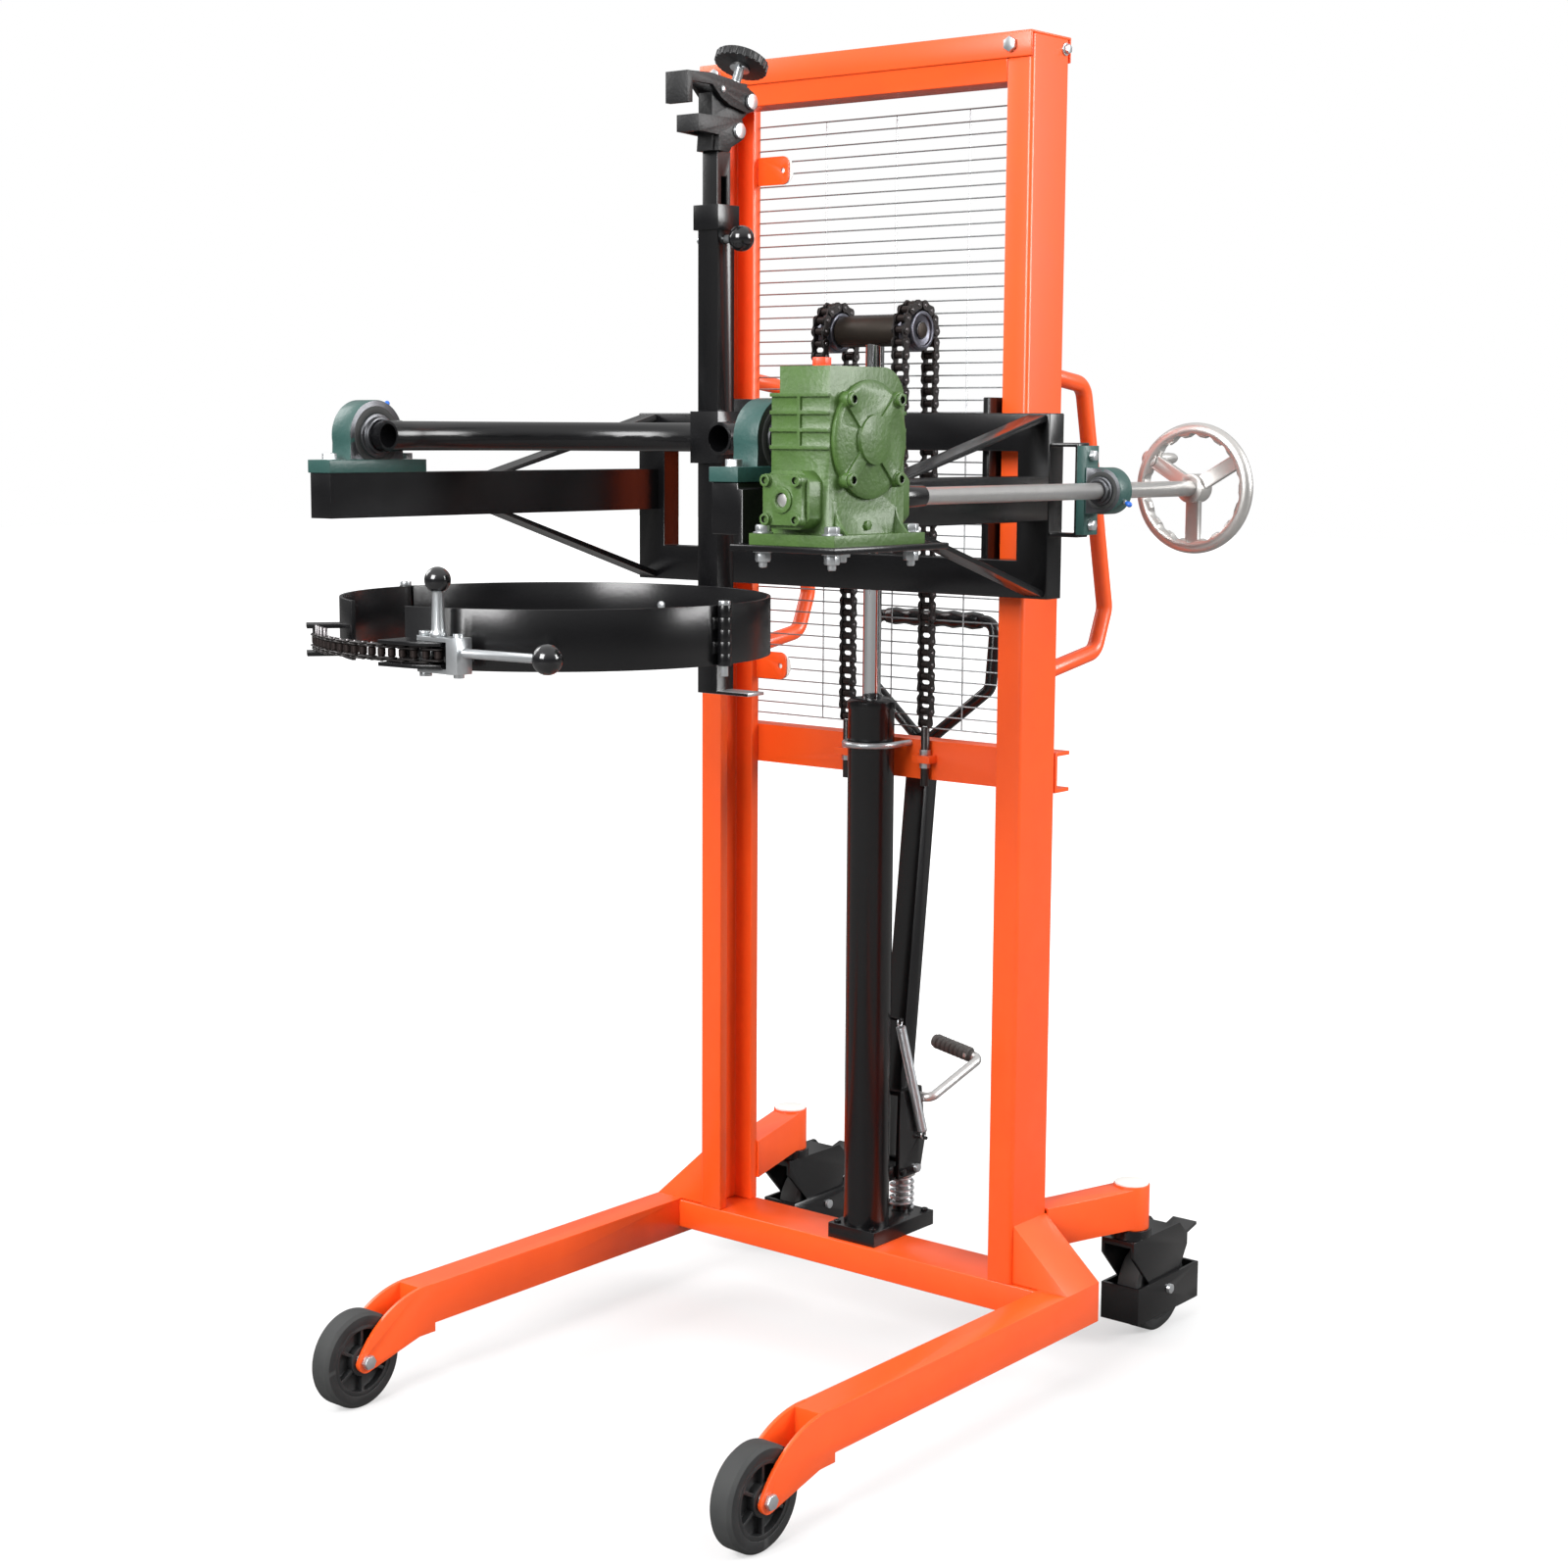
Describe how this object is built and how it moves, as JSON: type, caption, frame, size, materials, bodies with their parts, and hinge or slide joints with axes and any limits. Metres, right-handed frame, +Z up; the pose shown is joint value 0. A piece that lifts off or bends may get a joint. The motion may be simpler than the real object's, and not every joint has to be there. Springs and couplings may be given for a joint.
{
  "type": "drum tipper",
  "caption": "Wheeled manual drum tipper: chain lift mast with foot pump, carriage arms and a hoop holder that a hand wheel tips through a worm gearbox.",
  "frame": {"origin": "middle of the bounding box, on the floor", "axes": "+Z up, +X to the gearbox side, +Y to the operator at the rear"},
  "size_m": [1.031, 1.5018, 2.088],
  "materials": {
    "orange": "satin powder coat",
    "black_paint": "gloss paint",
    "zinc": "zinc plated",
    "rubber_wheel": "matte",
    "chrome": "hard chrome",
    "chain_steel": "oiled steel",
    "silver_rod": "drawn",
    "bright_aluminium": "polished cast",
    "teal_cast": "paint on casting",
    "green_cast": "paint on casting",
    "black_plastic": "moulded"
  },
  "bodies": {
    "frame": {"cross_beam": "orange", "left_leg": "orange", "right_leg": "orange", "left_rear_arm": "orange", "right_rear_arm": "orange", "left_post": "orange", "right_post": "orange", "top_beam": "orange", "mid_beam": "orange", "cylinder_foot": "black_paint", "lift_cylinder": "black_paint", "push_handles": "orange", "frame_fasteners": "zinc", "mid_beam_fittings": "zinc", "wire_guard": "zinc", "plunger_spring": "zinc", "return_spring": "zinc", "rear_chains": "chain_steel"},
    "left_wheel": {"left_front_wheel": "rubber_wheel"},
    "right_wheel": {"right_front_wheel": "rubber_wheel"},
    "left_caster": {"left_caster_fork": "black_paint"},
    "right_caster": {"right_caster_fork": "black_paint"},
    "left_caster_roll": {"left_caster_wheel": "rubber_wheel"},
    "right_caster_roll": {"right_caster_wheel": "rubber_wheel"},
    "left_brake": {"left_brake_pedal": "black_paint"},
    "right_brake": {"right_brake_pedal": "black_paint"},
    "pump": {"pump_lever": "black_paint", "foot_pedal": "silver_rod"},
    "plunger": {"pump_plunger": "zinc"},
    "piston": {"piston_rod": "chrome", "wrap_chains": "chain_steel"},
    "pulleys": {"chain_pulleys": "chain_steel"},
    "carriage": {"carriage_frame": "black_paint", "left_arm": "black_paint", "right_arm": "black_paint", "tilt_bearings": "teal_cast", "gearbox_housing": "green_cast", "gearbox_covers": "green_cast", "rod_bearing": "teal_cast", "front_chains": "chain_steel"},
    "lower_guides": {"lower_guide_rollers": "chain_steel"},
    "upper_guides": {"upper_guide_rollers": "chain_steel"},
    "hand_drive": {"drive_rod": "silver_rod", "hand_wheel": "bright_aluminium"},
    "crank": {"crank_grip": "black_plastic"},
    "holder": {"yoke": "black_paint", "spine": "black_paint", "rear_band": "black_paint", "hinge_pins": "zinc"},
    "clamp": {"clamp_tube": "black_paint", "lower_jaw": "black_paint"},
    "jaw": {"upper_jaw": "black_paint"},
    "knob": {"clamp_knob": "black_plastic"},
    "index": {"index_pin": "black_plastic"},
    "left_band": {"left_band_arm": "black_paint"},
    "right_band": {"right_band_arm": "black_paint", "ratchet_body": "zinc", "hoop_chain": "chain_steel"},
    "pawl": {"pawl_lever": "black_plastic"},
    "ratchet": {"ratchet_handle": "zinc"}
  },
  "joints": [
    {"name": "left_wheel_roll", "type": "hinge", "parent": "frame", "child": "left_wheel", "pos_m": [-0.4815, -0.45013, 0.075], "axis": [1, 0, 0], "continuous": true},
    {"name": "left_caster_swivel", "type": "hinge", "parent": "frame", "child": "left_caster", "pos_m": [-0.4445, 0.57187, 0.192], "axis": [0, 0, 1], "continuous": true},
    {"name": "left_caster_spin", "type": "hinge", "parent": "left_caster", "child": "left_caster_roll", "pos_m": [-0.4445, 0.63987, 0.075], "axis": [1, 0, 0], "continuous": true},
    {"name": "left_brake_tip", "type": "hinge", "parent": "left_caster", "child": "left_brake", "pos_m": [-0.4445, 0.69787, 0.145], "axis": [1, 0, 0], "range_deg": [0, 18]},
    {"name": "right_wheel_roll", "type": "hinge", "parent": "frame", "child": "right_wheel", "pos_m": [0.3205, -0.45013, 0.075], "axis": [1, 0, 0], "continuous": true},
    {"name": "right_caster_swivel", "type": "hinge", "parent": "frame", "child": "right_caster", "pos_m": [0.2835, 0.57187, 0.192], "axis": [0, 0, 1], "continuous": true},
    {"name": "right_caster_spin", "type": "hinge", "parent": "right_caster", "child": "right_caster_roll", "pos_m": [0.2835, 0.63987, 0.075], "axis": [1, 0, 0], "continuous": true},
    {"name": "right_brake_tip", "type": "hinge", "parent": "right_caster", "child": "right_brake", "pos_m": [0.2835, 0.69787, 0.145], "axis": [1, 0, 0], "range_deg": [0, 18]},
    {"name": "pump_stroke", "type": "hinge", "parent": "frame", "child": "pump", "pos_m": [-0.0805, 0.38687, 0.262], "axis": [1, 0, 0], "range_deg": [-35, 0], "stiffness_Nm_per_rad": 30, "springref_deg": 28.65, "deforming": ["return_spring"]},
    {"name": "plunger_stroke", "type": "slide", "parent": "frame", "child": "plunger", "axis": [0, 0, 1], "range_m": [-0.0234, 0], "deforming": ["plunger_spring"]},
    {"name": "piston_lift", "type": "slide", "parent": "frame", "child": "piston", "axis": [0, 0, 1], "range_m": [-0.5, 0.2], "deforming": ["rear_chains"]},
    {"name": "carriage_lift", "type": "slide", "parent": "piston", "child": "carriage", "axis": [0, 0, 1], "range_m": [-0.5, 0.2], "deforming": ["front_chains"]},
    {"name": "pulley_turn", "type": "hinge", "parent": "piston", "child": "pulleys", "pos_m": [-0.0805, 0.32487, 1.656], "axis": [1, 0, 0], "continuous": true},
    {"name": "lower_guide_roll", "type": "hinge", "parent": "carriage", "child": "lower_guides", "pos_m": [-0.0805, 0.32487, 1.296], "axis": [1, 0, 0], "continuous": true},
    {"name": "upper_guide_roll", "type": "hinge", "parent": "carriage", "child": "upper_guides", "pos_m": [-0.0805, 0.32487, 1.512], "axis": [1, 0, 0], "continuous": true},
    {"name": "tilt", "type": "hinge", "parent": "carriage", "child": "holder", "pos_m": [-0.0805, -0.40613, 1.488], "axis": [1, 0, 0], "range_deg": [-3, 180]},
    {"name": "hand_turn", "type": "hinge", "parent": "carriage", "child": "hand_drive", "pos_m": [0.4155, 0.48487, 1.414], "axis": [0, 1, 0], "continuous": true},
    {"name": "crank_turn", "type": "hinge", "parent": "hand_drive", "child": "crank", "pos_m": [0.33842, 0.48487, 1.4585], "axis": [0, 1, 0], "continuous": true},
    {"name": "clamp_height", "type": "slide", "parent": "holder", "child": "clamp", "axis": [0, 0, 1], "range_m": [-0.07, 0.07]},
    {"name": "jaw_open", "type": "hinge", "parent": "clamp", "child": "jaw", "pos_m": [-0.0805, -0.01313, 1.977], "axis": [1, 0, 0], "range_deg": [-35, 0]},
    {"name": "knob_turn", "type": "hinge", "parent": "jaw", "child": "knob", "pos_m": [-0.0805, -0.02513, 1.998], "axis": [0, 0.4067, 0.9135], "continuous": true},
    {"name": "index_pull", "type": "slide", "parent": "holder", "child": "index", "axis": [1, 0, 0], "range_m": [0, 0.02]},
    {"name": "left_band_open", "type": "hinge", "parent": "holder", "child": "left_band", "pos_m": [-0.3885, -0.40613, 1.19], "axis": [0, 0, 1], "range_deg": [-95, 0]},
    {"name": "right_band_open", "type": "hinge", "parent": "holder", "child": "right_band", "pos_m": [0.2275, -0.40613, 1.19], "axis": [0, 0, 1], "range_deg": [0, 95]},
    {"name": "ratchet_turn", "type": "hinge", "parent": "right_band", "child": "ratchet", "pos_m": [-0.01629, -0.71419, 1.212], "axis": [0, 0, 1], "range_deg": [-75, 0]},
    {"name": "pawl_pull", "type": "slide", "parent": "ratchet", "child": "pawl", "axis": [0, 0, 1], "range_m": [0, 0.012]}
  ],
  "couplings": [
    {"joint": "plunger_stroke", "follows": "pump_stroke", "m_per_rad": 0.038},
    {"joint": "carriage_lift", "follows": "piston_lift", "ratio": 1},
    {"joint": "pulley_turn", "follows": "piston_lift", "rad_per_m": -25},
    {"joint": "hand_turn", "follows": "tilt", "ratio": 40}
  ]
}
